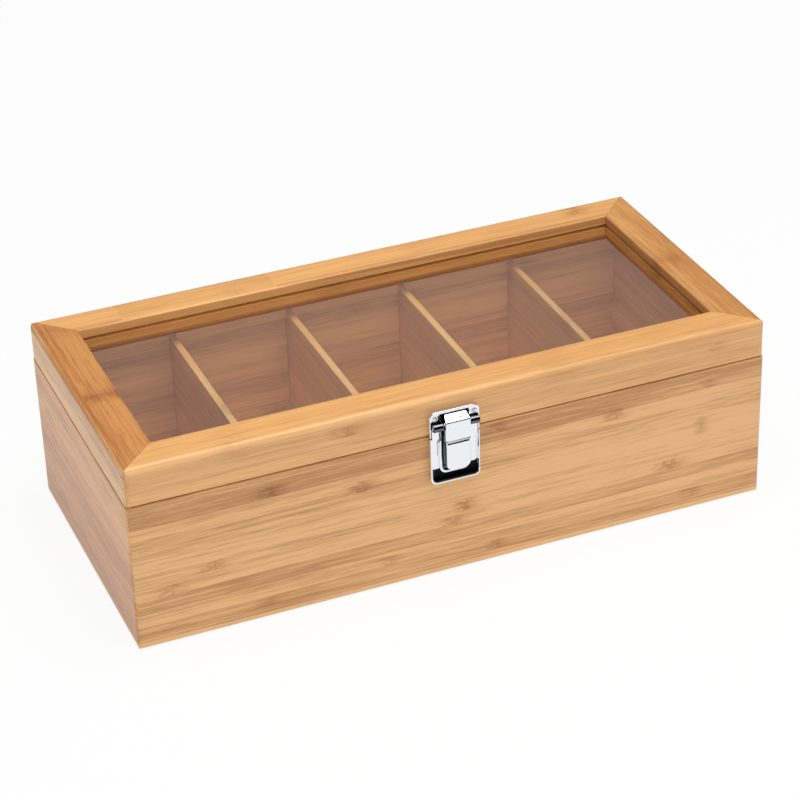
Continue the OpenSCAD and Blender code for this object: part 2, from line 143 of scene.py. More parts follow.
def bamboo_group():
    """Laminated bamboo. In Place, X runs along the strips, Z across them and Y through the board, in metres."""
    flt, col, vec = "NodeSocketFloat", "NodeSocketColor", "NodeSocketVector"
    t, given, out = new_group(
        "Bamboo",
        [("Place", vec, None), ("Strip Width", flt, 0.007), ("Knuckle Spacing", flt, 0.17), ("Seed", flt, 0.0),
         ("Contrast", flt, 1.0), ("Knuckles", flt, 1.0), ("Pale", col, (0.92, 0.57, 0.26, 1)),
         ("Dark", col, (0.62, 0.27, 0.09, 1))],
        [("Color", col), ("Roughness", flt), ("Height", flt)])
    split = t.nodes.new("ShaderNodeSeparateXYZ")
    t.links.new(given["Place"], split.inputs[0])
    x, y, z = split.outputs
    seat = calc(t, "MULTIPLY", given["Seed"], 0.173)
    side = calc(t, "ADD", z, seat)

    # Strips with nearly straight edges, each with its own tone
    wander = noise(t, join_xyz(t, calc(t, "MULTIPLY", x, 5.0), 0.0, calc(t, "MULTIPLY", side, 60.0)), 1.0, 1.0)
    across = calc(t, "ADD", calc(t, "DIVIDE", side, given["Strip Width"]), calc(t, "MULTIPLY", wander, 0.9))
    strip = calc(t, "FLOOR", across)
    within = calc(t, "SUBTRACT", calc(t, "SUBTRACT", across, strip), 0.5)
    layer = calc(t, "FLOOR", calc(t, "DIVIDE", y, 0.021))
    key = calc(t, "ADD", calc(t, "MULTIPLY_ADD", strip, 7.31, given["Seed"]), calc(t, "MULTIPLY", layer, 3.17))
    tone = chance(t, key)
    shift = chance(t, calc(t, "ADD", key, 0.37))
    edge = ease(t, calc(t, "ABSOLUTE", within), 0.44, 0.5)

    # Soft bands, long fibres, fine hairs and short dark pores
    soft = noise(t, join_xyz(t, calc(t, "MULTIPLY", x, 3.2), calc(t, "MULTIPLY", y, 40.0),
                             calc(t, "MULTIPLY", side, 130.0)), 1.0, 2.0)
    cloud = noise(t, join_xyz(t, calc(t, "MULTIPLY", x, 7.0), calc(t, "MULTIPLY", y, 14.0),
                              calc(t, "MULTIPLY", side, 16.0)), 1.0, 1.0)
    fibre = noise(t, join_xyz(t, calc(t, "MULTIPLY", x, 13.0), calc(t, "MULTIPLY", y, 600.0),
                              calc(t, "MULTIPLY", side, 600.0)), 1.0, 4.0, 0.68)
    hairs = noise(t, join_xyz(t, calc(t, "MULTIPLY", x, 60.0), calc(t, "MULTIPLY", y, 1300.0),
                              calc(t, "MULTIPLY", side, 1300.0)), 1.0, 2.0, 0.6)
    pore = ease(t, hairs, 0.58, 0.74)

    # Knuckles, one every so often along each strip
    along = calc(t, "ADD", calc(t, "DIVIDE", x, given["Knuckle Spacing"]), calc(t, "MULTIPLY", shift, 5.0))
    count = calc(t, "FLOOR", along)
    wobble = noise(t, join_xyz(t, calc(t, "MULTIPLY", x, 130.0), calc(t, "MULTIPLY", y, 300.0),
                               calc(t, "MULTIPLY", side, 520.0)), 1.0, 2.0)
    away = calc(t, "MULTIPLY", calc(t, "SUBTRACT", calc(t, "SUBTRACT", along, count), 0.5), given["Knuckle Spacing"])
    away = calc(t, "ADD", away, calc(t, "MULTIPLY", calc(t, "SUBTRACT", wobble, 0.5), 0.007))
    bold = chance(t, calc(t, "MULTIPLY_ADD", count, 5.7, key))
    bold = calc(t, "MULTIPLY", ease(t, bold, 0.30, 0.95, 0.06, 1.0), given["Knuckles"])
    inside = ease(t, calc(t, "ABSOLUTE", within), 0.50, 0.30)
    patchy = ease(t, noise(t, join_xyz(t, calc(t, "MULTIPLY", x, 160.0), calc(t, "MULTIPLY", y, 600.0),
                                       calc(t, "MULTIPLY", side, 900.0)), 1.0, 3.0), 0.30, 0.66)
    stain = calc(t, "MULTIPLY", bell(t, away, 0.0085), calc(t, "MULTIPLY_ADD", patchy, 0.75, 0.25))
    stain = calc(t, "MULTIPLY", stain, calc(t, "MULTIPLY", bold, inside))
    ridge = calc(t, "MULTIPLY", bell(t, calc(t, "SUBTRACT", away, 0.0006), 0.0006), calc(t, "MULTIPLY", bold, inside))
    fold = calc(t, "MULTIPLY", bell(t, calc(t, "ADD", away, 0.0009), 0.0006), calc(t, "MULTIPLY", bold, inside))

    # All of it as one tone, from 0 for dark to 1 for pale
    level = calc(t, "MULTIPLY_ADD", calc(t, "SUBTRACT", tone, 0.5), 0.64, 0.66)
    for value, share in ((soft, 1.1), (cloud, 0.6), (fibre, 2.1), (hairs, 1.3)):
        level = calc(t, "MULTIPLY_ADD", calc(t, "SUBTRACT", value, 0.5), share, level)
    for value, share in ((pore, -0.20), (edge, -0.08), (fold, -0.16), (ridge, 0.16)):
        level = calc(t, "MULTIPLY_ADD", value, share, level)
    level = calc(t, "MULTIPLY_ADD", calc(t, "SUBTRACT", level, 0.66), given["Contrast"], 0.66)
    level = calc(t, "MINIMUM", calc(t, "MAXIMUM", level, 0.0), 1.15)
    plain = blend(t, level, given["Dark"], given["Pale"])
    rosy = blend(t, ease(t, chance(t, calc(t, "ADD", key, 0.71)), 0.3, 1.0, 0.0, 0.30), plain, (0.98, 0.92, 0.89, 1),
                 "MULTIPLY")
    t.links.new(blend(t, calc(t, "MULTIPLY", stain, 0.60), rosy, (0.46, 0.20, 0.065, 1)), out["Color"])
    t.links.new(calc(t, "MULTIPLY_ADD", fibre, -0.14, 0.46), out["Roughness"])
    height = calc(t, "SUBTRACT", calc(t, "MULTIPLY", fibre, 0.6), calc(t, "MULTIPLY", pore, 0.5))
    t.links.new(calc(t, "ADD", height, calc(t, "MULTIPLY", ridge, 0.35)), out["Height"])
    return t


def shade_group():
    """Tints a colour where the surface doesn't face the given way, a painted light and shade for each side; darkens it
    along the mitred corner joints; and paints a pale highlight along the bottom edge with a shadow line above it.
    """
    flt, col, vec = "NodeSocketFloat", "NodeSocketColor", "NodeSocketVector"
    t, given, out = new_group(
        "Mitred bar",
        [("Color", col, (1, 1, 1, 1)), ("Place", vec, None), ("Facing", flt, 0.0), ("Painted Side Light", col, (1, 1, 1, 1)),
         ("Joint", flt, 0.3), ("Painted Foot Light", flt, 0.0)],
        [("Color", col)])
    split = t.nodes.new("ShaderNodeSeparateXYZ")
    t.links.new(given["Place"], split.inputs[0])
    from_side = calc(t, "SUBTRACT", calc(t, "ABSOLUTE", split.outputs[0]), 0.170)
    from_front = calc(t, "SUBTRACT", calc(t, "ABSOLUTE", split.outputs[1]), 0.0805)
    joint = bell(t, calc(t, "SUBTRACT", from_side, from_front), 0.00028)
    # Painted light and shade: sides that don't face the given way take the side tint, set to how each side is lit
    painted_side_lit = blend(t, ease(t, given["Facing"], 0.75, 0.35), given["Color"], blend(
        t, 1.0, given["Color"], given["Painted Side Light"], "MULTIPLY"))
    dark = blend(t, 1.0, painted_side_lit, (0.42, 0.30, 0.22, 1), "MULTIPLY")
    jointed = blend(t, calc(t, "MULTIPLY", joint, given["Joint"]), painted_side_lit, dark)
    # Painted highlight: a pale band along the rounded bottom edge, where it would catch the floor's light, and a
    # painted shadow line just above it
    painted_foot_light = calc(t, "MULTIPLY", ease(t, split.outputs[2], 0.0038, 0.0032), given["Painted Foot Light"])
    line = calc(t, "MULTIPLY", bell(t, calc(t, "SUBTRACT", split.outputs[2], 0.0040), 0.0004), given["Painted Foot Light"])
    foot_highlighted = blend(t, calc(t, "MULTIPLY", painted_foot_light, 0.55), jointed, (0.98, 0.60, 0.27, 1))
    t.links.new(blend(t, calc(t, "MULTIPLY", line, 0.25), foot_highlighted, dark), out["Color"])
    return t


def mark_group():
    """One knuckle: a brown, speckled patch across a strip, with a darker line in its middle."""
    flt, col = "NodeSocketFloat", "NodeSocketColor"
    t, given, out = new_group(
        "Knuckle mark",
        [("Color", col, (1, 1, 1, 1)), ("Along", flt, 0.0), ("Across", flt, 0.0), ("Speckle", flt, 0.5),
         ("Middle Along", flt, 0.0), ("Middle Across", flt, 0.0), ("Half Length", flt, 0.007),
         ("Half Height", flt, 0.003), ("Strength", flt, 0.6)],
        [("Color", col)])
    ragged = calc(t, "SUBTRACT", given["Speckle"], 0.5)
    along = calc(t, "SUBTRACT", given["Along"], given["Middle Along"])
    along = calc(t, "MULTIPLY_ADD", ragged, 0.008, along)
    across = calc(t, "ABSOLUTE", calc(t, "SUBTRACT", given["Across"], given["Middle Across"]))
    inside = ease(t, calc(t, "DIVIDE", across, given["Half Height"]), 1.15, 0.85)
    patch = calc(t, "MULTIPLY", bell(t, along, given["Half Length"]), ease(t, given["Speckle"], 0.30, 0.62, 0.15, 1.0))
    line = calc(t, "MULTIPLY", bell(t, along, 0.0009), 0.9)
    cover = calc(t, "MULTIPLY", calc(t, "MAXIMUM", patch, line), calc(t, "MULTIPLY", inside, given["Strength"]))
    brown = blend(t, 1.0, given["Color"], (0.55, 0.40, 0.27, 1), "MULTIPLY")
    t.links.new(blend(t, cover, given["Color"], brown), out["Color"])
    return t


BAMBOO = bamboo_group()
KNUCKLE_MARK = mark_group()
MITRED_BAR = shade_group()


def bamboo(name, turn=(0, 0, 0), strip=0.007, spacing=0.17, seed=0.0, contrast=1.0, knuckles=1.0,
           pale=(0.92, 0.525, 0.215, 1), dark=(0.56, 0.265, 0.095, 1), outward=None, painted_side_light=(1, 1, 1, 1), joint=0.0,
           painted_foot_light=0.0, marks=(), axes=(0, 2)):
    """A lacquered bamboo finish. turn lays the piece's grain along X, and outward is the side that keeps its colour;
    the other sides take a tint that paints in how they are lit.

    Each mark is a knuckle: its place along the two axes, its half length and half height in millimetres, its strength.
    """
    mat = bpy.data.materials.new(name)
    mat.use_nodes = True
    t = mat.node_tree
    shader = t.nodes["Principled BSDF"]
    where = t.nodes.new("ShaderNodeTexCoord")
    lay = t.nodes.new("ShaderNodeMapping")
    lay.inputs["Rotation"].default_value = turn
    t.links.new(where.outputs["Object"], lay.inputs["Vector"])
    figure = t.nodes.new("ShaderNodeGroup")
    figure.node_tree = BAMBOO
    t.links.new(lay.outputs[0], figure.inputs["Place"])
    for label, value in (("Strip Width", strip), ("Knuckle Spacing", spacing), ("Seed", seed), ("Contrast", contrast),
                         ("Knuckles", knuckles), ("Pale", pale), ("Dark", dark)):
        figure.inputs[label].default_value = value
    bar = t.nodes.new("ShaderNodeGroup")
    bar.node_tree = MITRED_BAR
    color = figure.outputs["Color"]
    if marks:
        split = t.nodes.new("ShaderNodeSeparateXYZ")
        t.links.new(where.outputs["Object"], split.inputs[0])
        squeeze = t.nodes.new("ShaderNodeVectorMath")
        squeeze.operation = "MULTIPLY"
        t.links.new(lay.outputs[0], squeeze.inputs[0])
        squeeze.inputs[1].default_value = (190.0, 620.0, 620.0)
        speckle = noise(t, squeeze.outputs[0], 1.0, 3.0, 0.6)
    for mark in marks:
        knuckle = t.nodes.new("ShaderNodeGroup")
        knuckle.node_tree = KNUCKLE_MARK
        t.links.new(color, knuckle.inputs["Color"])
        t.links.new(split.outputs[axes[0]], knuckle.inputs["Along"])
        t.links.new(split.outputs[axes[1]], knuckle.inputs["Across"])
        t.links.new(speckle, knuckle.inputs["Speckle"])
        for label, value in zip(("Middle Along", "Middle Across", "Half Length", "Half Height"), mark):
            knuckle.inputs[label].default_value = value * MM
        knuckle.inputs["Strength"].default_value = mark[4]
        color = knuckle.outputs["Color"]
    t.links.new(color, bar.inputs["Color"])
    t.links.new(where.outputs["Object"], bar.inputs["Place"])
    bar.inputs["Painted Side Light"].default_value = painted_side_light
    bar.inputs["Joint"].default_value = joint
    bar.inputs["Painted Foot Light"].default_value = painted_foot_light
    bar.inputs["Facing"].default_value = 1.0
    if outward:
        across = t.nodes.new("ShaderNodeVectorMath")
        across.operation = "DOT_PRODUCT"
        t.links.new(where.outputs["Normal"], across.inputs[0])
        across.inputs[1].default_value = outward
        t.links.new(across.outputs["Value"], bar.inputs["Facing"])
    bump = t.nodes.new("ShaderNodeBump")
    bump.inputs["Strength"].default_value = 0.2
    bump.inputs["Distance"].default_value = 0.00012
    t.links.new(figure.outputs["Height"], bump.inputs["Height"])
    t.links.new(bump.outputs[0], shader.inputs["Normal"])
    t.links.new(bar.outputs["Color"], shader.inputs["Base Color"])
    t.links.new(figure.outputs["Roughness"], shader.inputs["Roughness"])
    shader.inputs["IOR"].default_value = 1.5
    shader.inputs["Coat Weight"].default_value = 0.15
    shader.inputs["Coat Roughness"].default_value = 0.3
    return mat


def metal(name, color, rough):
    """A metal whose roughness varies a little from spot to spot."""
    mat = bpy.data.materials.new(name)
    mat.use_nodes = True
    t = mat.node_tree
    shader = t.nodes["Principled BSDF"]
    shader.inputs["Metallic"].default_value = 1.0
    shader.inputs["Base Color"].default_value = color
    where = t.nodes.new("ShaderNodeTexCoord")
    haze = noise(t, where.outputs["Object"], 900.0, 3.0)
    t.links.new(calc(t, "MULTIPLY_ADD", haze, 0.04, rough), shader.inputs["Roughness"])
    return mat


def paint_shade_on_sides(mat):
    """Makes a metal near-black where it faces left or right: painted shade on the sides."""
    t = mat.node_tree
    shader = t.nodes["Principled BSDF"]
    where = t.nodes.new("ShaderNodeTexCoord")
    split = t.nodes.new("ShaderNodeSeparateXYZ")
    t.links.new(where.outputs["Normal"], split.inputs[0])
    # Painted shade: faces turned left or right blend to near-black
    side = ease(t, calc(t, "ABSOLUTE", split.outputs[0]), 0.6, 0.9)
    plain = tuple(shader.inputs["Base Color"].default_value)
    t.links.new(blend(t, side, plain, (0.012, 0.012, 0.015, 1)), shader.inputs["Base Color"])


def clear_pane(name):
    """A clear window that lets the lamps' light through to what lies under it."""
    mat = bpy.data.materials.new(name)
    mat.use_nodes = True
    t = mat.node_tree
    shader = t.nodes["Principled BSDF"]
    shader.inputs["Base Color"].default_value = (0.99, 0.975, 0.935, 1)
    shader.inputs["Roughness"].default_value = 0.02
    shader.inputs["IOR"].default_value = 1.49
    shader.inputs["Transmission Weight"].default_value = 1.0
    path = t.nodes.new("ShaderNodeLightPath")
    through = t.nodes.new("ShaderNodeBsdfTransparent")
    through.inputs[0].default_value = (0.93, 0.93, 0.90, 1)
    either = t.nodes.new("ShaderNodeMixShader")
    soft = calc(t, "MAXIMUM", path.outputs["Is Shadow Ray"], path.outputs["Is Diffuse Ray"])
    t.links.new(soft, either.inputs[0])
    t.links.new(shader.outputs[0], either.inputs[1])
    t.links.new(through.outputs[0], either.inputs[2])
    t.links.new(either.outputs[0], t.nodes["Material Output"].inputs["Surface"])
    return mat


def wear_material(name, mat):
    nodes[name].data.materials.clear()
    nodes[name].data.materials.append(mat)


QUARTER = math.pi / 2
# Painted light: the tint of the front and back rails' tops and inner faces, set to how they are lit
TOP_PAINTED_LIGHT = (1.03, 0.965, 0.85, 1)

# Knuckles that the photograph shows: place, half length, half height and strength
FRONT_MARKS = [(-98, 72, 7, 3.2, 0.9), (-51, 62, 8, 3.2, 0.85), (-129, 38, 6, 2.8, 0.7), (-151, 30, 9, 3.0, 0.6),
               (-102, 9, 5, 2.6, 0.5), (-38, 15, 6, 2.8, 0.4), (3, 37, 6, 3.4, 0.9), (-3, 29, 7, 2.8, 0.7),
               (20, 9, 5, 2.8, 0.7), (22, 77, 7, 3.0, 0.6), (86, 68, 7, 3.0, 0.75), (139, 73, 6, 2.6, 0.6),
               (135, 49, 4, 5.0, 0.5), (118, 30, 8, 3.0, 0.85), (130, 10, 5, 2.8, 0.6)]
LID_FRONT_MARKS = [(-58, 95, 7, 3.0, 0.7), (143, 93, 5, 2.8, 0.4)]
BACK_RAIL_MARKS = [(137, 74, 7, 6.0, 0.6), (-63, 65, 6, 3.5, 0.3)]
LEFT_RAIL_MARKS = [(-8, -158, 5, 9.0, 0.8)]
RIGHT_RAIL_MARKS = [(-1, 156, 7, 8.0, 0.55)]

wear_material("front_wall", bamboo("Bamboo front wall", seed=1.0, contrast=1.15, painted_foot_light=1.0, knuckles=0.2,
                                   marks=FRONT_MARKS, pale=(0.90, 0.52, 0.225, 1)))
wear_material("back_wall", bamboo("Bamboo back wall", seed=2.3, painted_foot_light=1.0, pale=(0.92, 0.54, 0.21, 1),
                                  dark=(0.57, 0.275, 0.09, 1)))
wear_material("left_wall", bamboo("Bamboo left wall", turn=(0, 0, QUARTER), seed=3.1, painted_foot_light=1.0, contrast=1.4,
                                  pale=(0.92, 0.468, 0.174, 1), dark=(0.57, 0.235, 0.072, 1)))
wear_material("right_wall", bamboo("Bamboo right wall", turn=(0, 0, QUARTER), seed=4.7, painted_foot_light=1.0))
wear_material("bottom_panel", bamboo("Bamboo bottom", turn=(QUARTER, 0, 0), seed=5.9,
                                      pale=(0.84, 0.54, 0.28, 1), dark=(0.52, 0.28, 0.12, 1)))
for i in range(1, 5):
    wear_material(f"divider_{i}", bamboo(f"Bamboo divider {i}", turn=(0, 0, QUARTER), seed=6.1 + i, strip=0.012,
                                         contrast=0.7, pale=(0.88, 0.505, 0.19, 1), dark=(0.53, 0.255, 0.084, 1)))
wear_material("lid_front_rail", bamboo("Bamboo front rail", seed=11.2, strip=0.021, contrast=0.7, joint=0.5,
                                        knuckles=0.4, marks=LID_FRONT_MARKS, outward=(0, -1, 0), painted_side_light=TOP_PAINTED_LIGHT))
wear_material("lid_back_rail", bamboo("Bamboo back rail", seed=12.6, strip=0.021, contrast=0.7, joint=0.5,
                                       knuckles=0.4, marks=BACK_RAIL_MARKS, axes=(0, 1), outward=(0, 1, 0),
                                       painted_side_light=TOP_PAINTED_LIGHT))
wear_material("lid_left_rail", bamboo("Bamboo left rail", turn=(0, 0, QUARTER), seed=13.4, strip=0.010, joint=0.5,
                                      contrast=1.45, marks=LEFT_RAIL_MARKS, axes=(1, 0), pale=(1.0, 0.60, 0.25, 1),
                                      dark=(0.66, 0.29, 0.10, 1), outward=(-1, 0, 0), painted_side_light=(0.72, 0.54, 0.40, 1)))
wear_material("lid_right_rail", bamboo("Bamboo right rail", turn=(0, 0, QUARTER), seed=14.8, strip=0.010, joint=0.5,
                                       contrast=1.2, marks=RIGHT_RAIL_MARKS, axes=(1, 0), outward=(1, 0, 0),
                                       painted_side_light=(1.07, 1.0, 0.84, 1)))
wear_material("window_pane", clear_pane("Clear pane"))
POLISHED = (0.85, 0.86, 0.90, 1)
chrome = metal("Latch chrome", POLISHED, 0.05)
nickel = metal("Hinge nickel", (0.80, 0.79, 0.77, 1), 0.14)
steel = metal("Pin steel", (0.66, 0.66, 0.67, 1), 0.22)
for name in nodes:
    if name.startswith("latch"):
        wear_material(name, chrome)
    elif name.endswith("leaf"):
        wear_material(name, nickel)
    elif name.endswith(("pin", "nails", "screws")):
        wear_material(name, steel)


# Modelling. Latch pieces are shaped about LATCH, the middle of the latch's line on the gap: X to the right,
# -Y out from the wood, Z up. Their sizes are in millimetres.

LATCH = Vector((-0.003, -0.0805, 0.08125))

# Axes of the lever pin and of the claw pin, and the places of the keeper's nails
LEVER_PIN = (0, -4.4, 6.5)
CLAW_PIN_OUT, CLAW_PIN_UP = -6.65, -1.5
NAIL_SIDE, NAIL_UP = 10.4, 11.0

# In degrees: edges sharper than the first are rounded, and those flatter than the second are shaded smooth
SHARP_EDGE, SMOOTH_UP_TO = 40, 35


def place_block(name, low, high):
    """A box from its lowest to its highest corner, left in edit mode."""
    low, high = Vector(low) * MM, Vector(high) * MM
    bpy.ops.object.select_all(action="DESELECT")
    bpy.ops.mesh.primitive_cube_add(size=1, location=(low + high) / 2, scale=high - low)
    return start_shaping(name)


def place_rod(name, radius, length, middle, sides=24, across=(0, QUARTER, 0)):
    """A round bar along X, or as turned, left in edit mode."""
    bpy.ops.object.select_all(action="DESELECT")
    bpy.ops.mesh.primitive_cylinder_add(vertices=sides, radius=radius * MM, depth=length * MM,
                                        location=Vector(middle) * MM, rotation=across)
    return start_shaping(name)


def start_shaping(name):
    piece = bpy.context.object
    piece.name = name
    bpy.ops.object.transform_apply(location=True, rotation=True, scale=True)
    bpy.ops.object.mode_set(mode="EDIT")
    return piece


def pick(kind, test):
    """Selects the faces, edges or points whose place and direction, in millimetres, pass a test."""
    bpy.ops.mesh.select_mode(type=kind)
    bpy.ops.mesh.select_all(action="DESELECT")
    data = bpy.context.object.data
    shape = bmesh.from_edit_mesh(data)
    if kind == "FACE":
        for face in shape.faces:
            face.select = bool(test(face.calc_center_median() / MM, face.normal))
    elif kind == "EDGE":
        for edge in shape.edges:
            a, b = (v.co for v in edge.verts)
            edge.select = bool(test((a + b) / 2 / MM, (b - a).normalized()))
    else:
        for point in shape.verts:
            point.select = bool(test(point.co / MM, point.normal))
    shape.select_flush_mode()
    bmesh.update_edit_mesh(data)


def soften(radius, steps=3):
    """Rounds the selected edges."""
    bpy.ops.mesh.bevel(offset=radius * MM, segments=steps, affect="EDGES", clamp_overlap=False)


def push(x=0.0, y=0.0, z=0.0):
    """Extrudes what is selected and moves it, in millimetres."""
    bpy.ops.mesh.extrude_region_move(TRANSFORM_OT_translate={"value": (x * MM, y * MM, z * MM)})


def stretch(x, y, z, middle):
    bpy.ops.transform.resize(value=(x, y, z), center_override=Vector(middle) * MM)


def cut_all(place, normal, drop_below=False):
    """Cuts the whole piece along a plane, and takes away what lies behind it if asked."""
    bpy.ops.mesh.select_mode(type="FACE")
    bpy.ops.mesh.select_all(action="SELECT")
    bpy.ops.mesh.bisect(plane_co=Vector(place) * MM, plane_no=normal, clear_inner=drop_below)


def finish_shape(piece, sheet=0.0, edge=0.0, offset=-1.0):
    """Leaves edit mode, gives a sheet its thickness, rounds the edges that are left and smooths the shading."""
    bpy.ops.object.mode_set(mode="OBJECT")
    if sheet:
        wall = piece.modifiers.new("Sheet", "SOLIDIFY")
        wall.thickness = sheet * MM
        wall.offset = offset
        wall.use_even_offset = True
        bpy.ops.object.modifier_apply(modifier="Sheet")
    if edge:
        rounding = piece.modifiers.new("Edge", "BEVEL")
        rounding.width = edge * MM
        rounding.segments = 2
        rounding.limit_method = "ANGLE"
        rounding.angle_limit = math.radians(SHARP_EDGE)
        rounding.harden_normals = False
        bpy.ops.object.modifier_apply(modifier="Edge")
    bpy.ops.object.shade_smooth_by_angle(angle=math.radians(SMOOTH_UP_TO))
    return piece


def face_out():
    bpy.ops.mesh.select_all(action="SELECT")
    bpy.ops.mesh.remove_doubles(threshold=1e-7)
    bpy.ops.mesh.normals_make_consistent(inside=False)


def face_out_towards_front(piece):
    """Turns a bent strip's faces so that its big front face looks away from the wood."""
    bpy.ops.mesh.select_all(action="SELECT")
    bpy.ops.mesh.normals_make_consistent(inside=False)
    shape = bmesh.from_edit_mesh(piece.data)
    front = max(shape.faces, key=lambda f: f.calc_area())
    if front.normal.y > 0:
        bpy.ops.mesh.flip_normals()


def join_up(pieces, name):
    """Joins finished shapes into one piece."""
    bpy.ops.object.select_all(action="DESELECT")
    for piece in pieces:
        piece.select_set(True)
    bpy.context.view_layer.objects.active = pieces[0]
    bpy.ops.object.join()
    pieces[0].name = name
    return pieces[0]


def settle(piece, body, node, mats=()):
    """Moves a finished piece from the latch's own frame to its place, and lets it stand for its node."""
    bpy.ops.object.select_all(action="DESELECT")
    piece.select_set(True)
    bpy.context.view_layer.objects.active = piece
    piece.location = LATCH
    bpy.ops.object.transform_apply(location=True, rotation=True, scale=True)
    if not piece.data.materials:
        for mat in mats:
            piece.data.materials.append(mat)
    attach(piece, body)
    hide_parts(node)
    return piece


def copy_across(piece, name):
    """A mirrored copy of a finished shape on the other side of the latch's middle."""
    bpy.ops.object.select_all(action="DESELECT")
    piece.select_set(True)
    bpy.context.view_layer.objects.active = piece
    bpy.ops.object.duplicate()
    other = bpy.context.object
    other.name = name
    bpy.ops.object.mode_set(mode="EDIT")
    bpy.ops.mesh.select_all(action="SELECT")
    bpy.ops.transform.mirror(constraint_axis=(True, False, False), center_override=(0, 0, 0))
    bpy.ops.mesh.flip_normals()
    bpy.ops.object.mode_set(mode="OBJECT")
    return other


# Latch

def press_pan():
    """The base's dished pan, with the well that the lever lies in."""
    pan = place_block("Pan", (-13.2, -3.4, -26.5), (13.2, 0, 9))
    pick("EDGE", lambda c, d: abs(d.y) > 0.9 and c.z < -26)
    soften(3, 8)
    pick("FACE", lambda c, n: n.y < -0.9)
    bpy.ops.mesh.region_to_loop()
    soften(0.5, 3)
    pick("FACE", lambda c, n: n.y < -0.999)
    half, low, out = 12.7, -26.0, 3.4
    for new_half, new_low, new_out in ((12.45, -25.75, 3.4), (12.40, -24.7, 2.88), (12.35, -22.4, 2.24),
                                       (12.30, -18.9, 1.24), (12.30, -18.7, 1.2), (7.8, -18.6, 1.2), (7.0, -18.3, 1.2),
                                       (6.9, -18.2, 0.8)):
        push(y=out - new_out)
        stretch(new_half / half, 1, (9 - new_low) / (9 - low), (0, 0, 9))
        half, low, out = new_half, new_low, new_out
    pick("VERT", lambda c, n: c.z > 8.9 and -1.3 < c.y < -1.1)
    bpy.ops.transform.translate(value=(0, -2.0 * MM, 0))
    pick("FACE", lambda c, n: n.y > 0.9 and abs(c.y) < 0.01)
    bpy.ops.mesh.delete(type="FACE")
    cut_all((0, 0, -0.25), (0, 0, -1), drop_below=True)
    face_out()
    pan.data.materials.append(chrome)
    pan.data.materials.append(painted_shade_chrome)
    # Painted shade and dark reflection: the well behind the lever and the sloping face below it take the near-black
    # chrome
    pick("FACE", lambda c, n: abs(c.x) < 7.3 and c.z > -18.5 and c.y > -1.3)
    pan.active_material_index = 1
    bpy.ops.object.material_slot_assign()
    pick("FACE", lambda c, n: -24.6 < c.z < -18.75 and n.y < 0 and c.y > -2.9)
    bpy.ops.object.material_slot_assign()
    return finish_shape(pan, sheet=0.6)


def press_lip():
    """The raised rim round the well, outside the lever's sides and its lower end."""
    lip = place_block("Rim", (-8.0, -2.3, -21.2), (8.0, 0, 9))
    pick("EDGE", lambda c, d: abs(d.y) > 0.9 and c.z < -21)
    soften(3.5, 6)
    pick("FACE", lambda c, n: n.y < -0.9)
    bpy.ops.mesh.region_to_loop()
    soften(0.3, 2)
    pick("FACE", lambda c, n: n.y < -0.999)
    push(y=0.0)
    stretch(7.1 / 7.7, 1, 29.3 / 29.9, (0, 0, 9))
    push(y=1.8)
    pick("FACE", lambda c, n: (n.y < -0.999 and c.y > -0.6) or (n.y > 0.9 and abs(c.y) < 0.01))
    bpy.ops.mesh.delete(type="FACE")
    cut_all((0, 0, -0.25), (0, 0, -1), drop_below=True)
    # Painted shade: the faces inside the rim take the near-black chrome
    pick("FACE", lambda c, n: abs(c.x) < 7.2 and c.z > -20.5 and c.y > -2.2)
    lip.data.materials.append(chrome)
    lip.data.materials.append(painted_shade_chrome)
    lip.active_material_index = 1
    bpy.ops.object.material_slot_assign()
    face_out()
    return finish_shape(lip, sheet=0.3, offset=0.0)


def roll_knuckle():
    """A strip that rises from the pan and rolls over the lever pin."""
    bpy.ops.object.select_all(action="DESELECT")
    bpy.ops.mesh.primitive_plane_add(size=1, location=Vector((9.6, -1.75, -5)) * MM, scale=(1, 1, 1))
    strip = start_shaping("Knuckle")
    bpy.ops.mesh.delete(type="ONLY_FACE")
    pick("VERT", lambda c, n: c.y > -1.75)
    bpy.ops.mesh.delete(type="VERT")
    shape = bmesh.from_edit_mesh(strip.data)
    for point in shape.verts:
        point.co = Vector(((12.1 if point.co.x > 0.0096 else 7.2), -2.0, -3.2)) * MM
    bmesh.update_edit_mesh(strip.data)
    pick("EDGE", lambda c, d: True)
    push(y=-0.4, z=1.8)
    push(y=-0.2, z=1.4)
    push(z=6.5)
    bpy.ops.mesh.spin(steps=20, angle=math.radians(305), center=Vector(LEVER_PIN) * MM, axis=(-1, 0, 0))
    return strip


def model_latch_base():
    pan = press_pan()
    rim = press_lip()
    strip = roll_knuckle()
    face_out()
    strip.data.materials.append(chrome)
    strip.data.materials.append(shaded_chrome)
    pick("FACE", lambda c, n: c.z > 4.5)
    strip.active_material_index = 1
    bpy.ops.object.material_slot_assign()
    finish_shape(strip, sheet=0.6, offset=0.0)
    other = copy_across(strip, "Knuckle other")
    base = join_up([pan, rim, strip, other], "latch_base_pressed")
    settle(base, "box", "latch_base")


